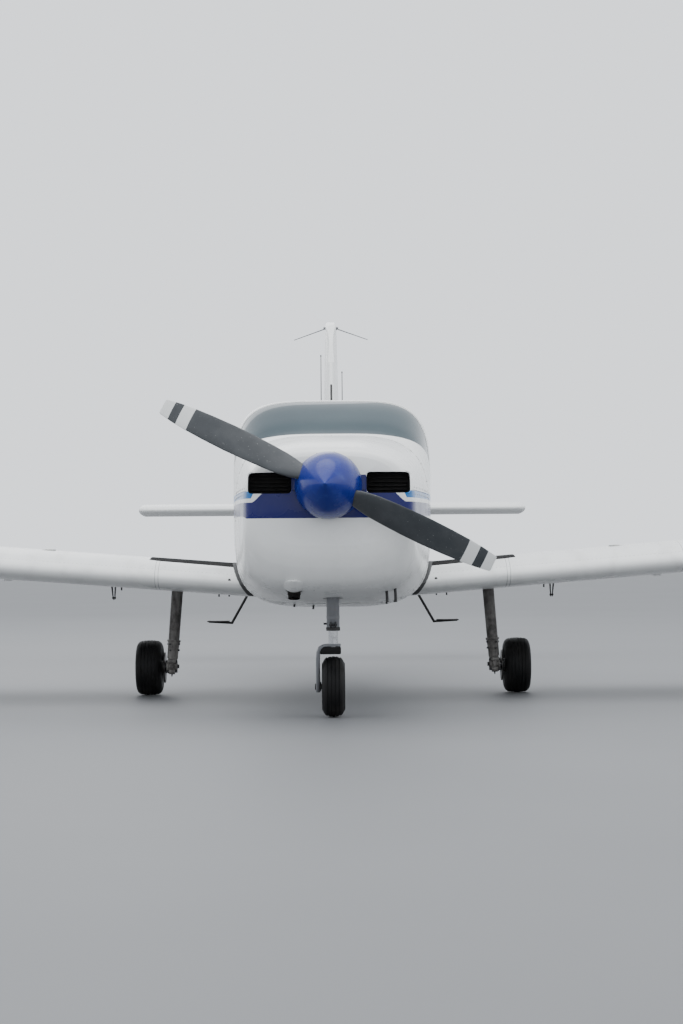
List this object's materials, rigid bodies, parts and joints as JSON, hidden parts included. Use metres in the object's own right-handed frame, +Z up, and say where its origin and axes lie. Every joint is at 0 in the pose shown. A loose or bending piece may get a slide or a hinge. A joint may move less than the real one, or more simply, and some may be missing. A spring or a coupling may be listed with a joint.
{
  "type": "light aircraft",
  "caption": "Low-wing single-engine light aircraft on fixed tricycle gear, with gull-wing doors, an all-moving tailplane and a hollow cabin.",
  "frame": {"origin": "centre of the bounding box at ground level", "axes": "-Y ahead along the nose, +X to the aircraft's own left, +Z up"},
  "size_m": [9.7506, 7.7, 2.81],
  "materials": {
    "white_paint": "gloss paint",
    "cowl_paint": "gloss paint on fibre-reinforced cowling",
    "blue_paint": "gloss paint",
    "engine": "plain",
    "steel": "satin",
    "propeller": "satin grey paint",
    "trim": "matt",
    "glazing": "tinted",
    "upholstery": "woven",
    "tyre": "worn rubber",
    "rim": "satin",
    "leg": "weathered paint"
  },
  "bodies": {
    "airframe": {"upper_cowl": "cowl_paint", "lower_cowl": "cowl_paint", "engine_block": "engine", "exhaust_pipe": "steel", "firewall": "steel", "belly": "white_paint", "front_fuselage": "white_paint", "roof": "white_paint", "side_wall_left": "white_paint", "side_wall_right": "white_paint", "rear_bulkhead": "trim", "windscreen": "glazing", "rear_window_left": "glazing", "rear_window_right": "glazing", "instrument_panel": "trim", "yoke_left": "trim", "yoke_right": "trim", "seat_front_left": "upholstery", "seat_front_right": "upholstery", "rear_bench": "upholstery", "tail_cone": "white_paint", "wing_left": "white_paint", "wing_right": "white_paint", "fin": "white_paint", "nose_leg": "steel", "main_leg_left": "leg", "main_leg_right": "leg", "main_arm_left": "leg", "main_arm_right": "leg", "step_left": "leg", "step_right": "leg", "blade_antenna": "trim", "whip_antenna_left": "trim", "whip_antenna_right": "trim", "nav_antenna": "steel"},
    "propeller": {"propeller_hub": "steel", "spinner": "blue_paint", "propeller_blade_upper": "propeller", "propeller_blade_lower": "propeller"},
    "nose_fork": {"nose_fork": "steel"},
    "nose_wheel": {"nose_hub": "rim", "nose_tyre": "tyre"},
    "main_wheel_left": {"main_hub_left": "rim", "main_tyre_left": "tyre"},
    "main_wheel_right": {"main_hub_right": "rim", "main_tyre_right": "tyre"},
    "door_left": {"door_left": "white_paint", "door_window_left": "glazing"},
    "door_right": {"door_right": "white_paint", "door_window_right": "glazing"},
    "baggage_door": {"baggage_door": "white_paint"},
    "flap_left": {"flap_left": "white_paint"},
    "flap_right": {"flap_right": "white_paint"},
    "aileron_left": {"aileron_left": "white_paint"},
    "aileron_right": {"aileron_right": "white_paint"},
    "rudder": {"rudder": "white_paint"},
    "tailplane": {"tailplane": "white_paint"},
    "tailplane_tab": {"tailplane_tab": "white_paint"}
  },
  "joints": [
    {"name": "propeller_turn", "type": "hinge", "parent": "airframe", "child": "propeller", "pos_m": [-0.0235, -3.61, 1.24], "axis": [-0.0523, -0.9986, 0], "continuous": true},
    {"name": "nose_steering", "type": "hinge", "parent": "airframe", "child": "nose_fork", "pos_m": [0, -2.945, 0.45], "axis": [0, 0, 1], "range_deg": [-22, 22]},
    {"name": "nose_wheel_roll", "type": "hinge", "parent": "nose_fork", "child": "nose_wheel", "pos_m": [0, -2.9, 0.165], "axis": [1, 0, 0], "continuous": true},
    {"name": "main_wheel_left_roll", "type": "hinge", "parent": "airframe", "child": "main_wheel_left", "pos_m": [1.165, -0.94, 0.174], "axis": [1, 0, 0], "continuous": true},
    {"name": "main_wheel_right_roll", "type": "hinge", "parent": "airframe", "child": "main_wheel_right", "pos_m": [-1.165, -0.94, 0.174], "axis": [1, 0, 0], "continuous": true},
    {"name": "door_left_hinge", "type": "hinge", "parent": "airframe", "child": "door_left", "pos_m": [0.125, -1.272, 1.848], "axis": [0, -1, 0], "range_deg": [0, 75]},
    {"name": "door_right_hinge", "type": "hinge", "parent": "airframe", "child": "door_right", "pos_m": [-0.125, -1.272, 1.848], "axis": [0, 1, 0], "range_deg": [0, 75]},
    {"name": "baggage_door_hinge", "type": "hinge", "parent": "airframe", "child": "baggage_door", "pos_m": [0.557, 0.013, 1.185], "axis": [0, 0, -1], "range_deg": [0, 95]},
    {"name": "flap_left_hinge", "type": "hinge", "parent": "airframe", "child": "flap_left", "pos_m": [1.84484, -0.9, 0.82969], "axis": [-0.9969, 0, -0.0785], "range_deg": [0, 30]},
    {"name": "flap_right_hinge", "type": "hinge", "parent": "airframe", "child": "flap_right", "pos_m": [-1.84484, -0.9, 0.82969], "axis": [-0.9969, 0, 0.0785], "range_deg": [0, 30]},
    {"name": "aileron_left_hinge", "type": "hinge", "parent": "airframe", "child": "aileron_left", "pos_m": [3.85378, -0.85, 0.9858], "axis": [-0.9969, 0, -0.0785], "range_deg": [-20, 14]},
    {"name": "aileron_right_hinge", "type": "hinge", "parent": "airframe", "child": "aileron_right", "pos_m": [-3.85378, -0.85, 0.9858], "axis": [-0.9969, 0, 0.0785], "range_deg": [-20, 14]},
    {"name": "rudder_hinge", "type": "hinge", "parent": "airframe", "child": "rudder", "pos_m": [0, 2.87, 1.45], "axis": [0, 0.1805, 0.9836], "range_deg": [-25, 25]},
    {"name": "tailplane_pivot", "type": "hinge", "parent": "airframe", "child": "tailplane", "pos_m": [0, 3.265, 1.263], "axis": [-1, 0, 0], "range_deg": [-14, 14]},
    {"name": "tailplane_tab_hinge", "type": "hinge", "parent": "tailplane", "child": "tailplane_tab", "pos_m": [0, 3.722, 1.263], "axis": [-1, 0, 0], "range_deg": [-14, 14]}
  ]
}
